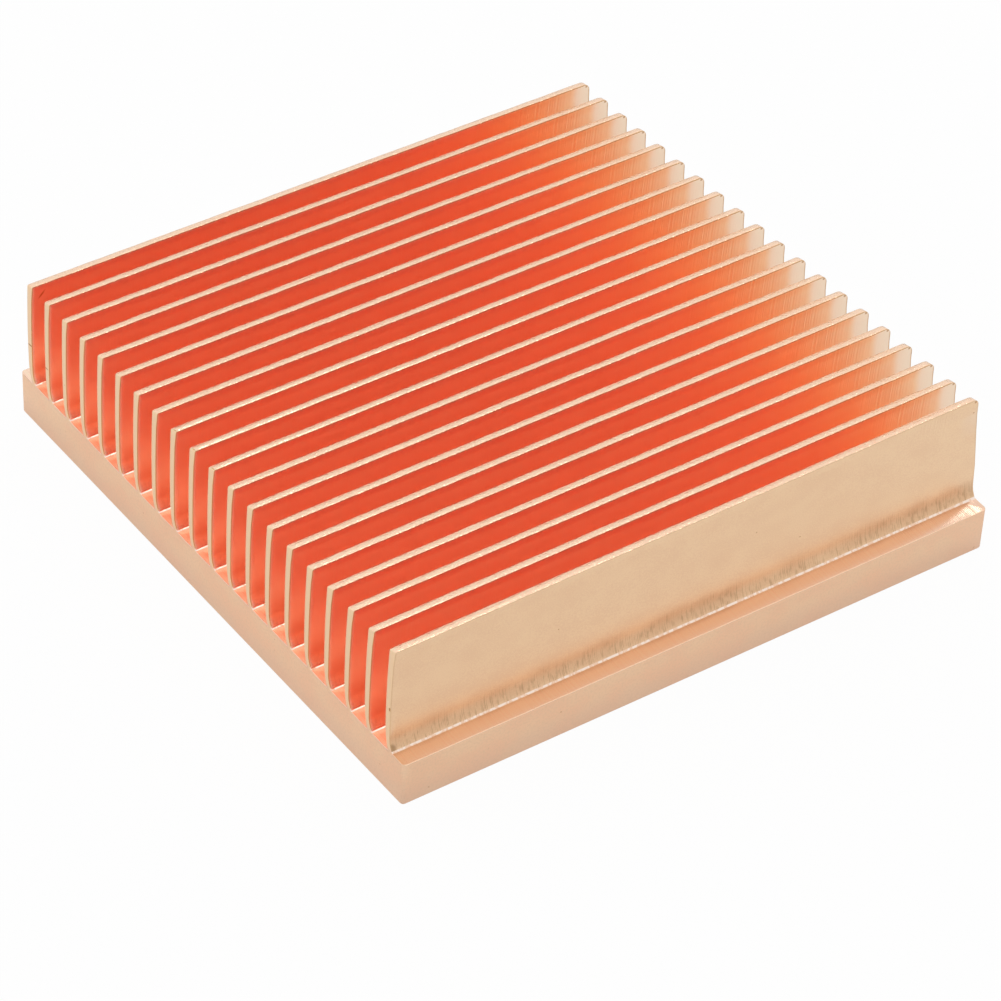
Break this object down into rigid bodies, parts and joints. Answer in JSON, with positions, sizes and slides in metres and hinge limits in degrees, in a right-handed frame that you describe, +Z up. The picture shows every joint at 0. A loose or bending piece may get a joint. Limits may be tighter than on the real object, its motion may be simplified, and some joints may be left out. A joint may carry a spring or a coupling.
{
  "type": "skived copper heat sink",
  "caption": "Square skived copper heat sink: a flat base with a comb of thin, slightly curled upright fins cut and bent out of the same block.",
  "frame": {"origin": "centre of the flat underside", "axes": "+X along the fins, towards the end with the rounded fin corners; -Y towards the front land, the side that the fin roots' creases face; +Z up from the base to the fin tips"},
  "size_m": [0.04, 0.04, 0.01],
  "materials": {
    "bare_copper": "satin bare copper, as cut"
  },
  "bodies": {
    "root": {"heat_sink": "bare_copper"}
  },
  "joints": []
}
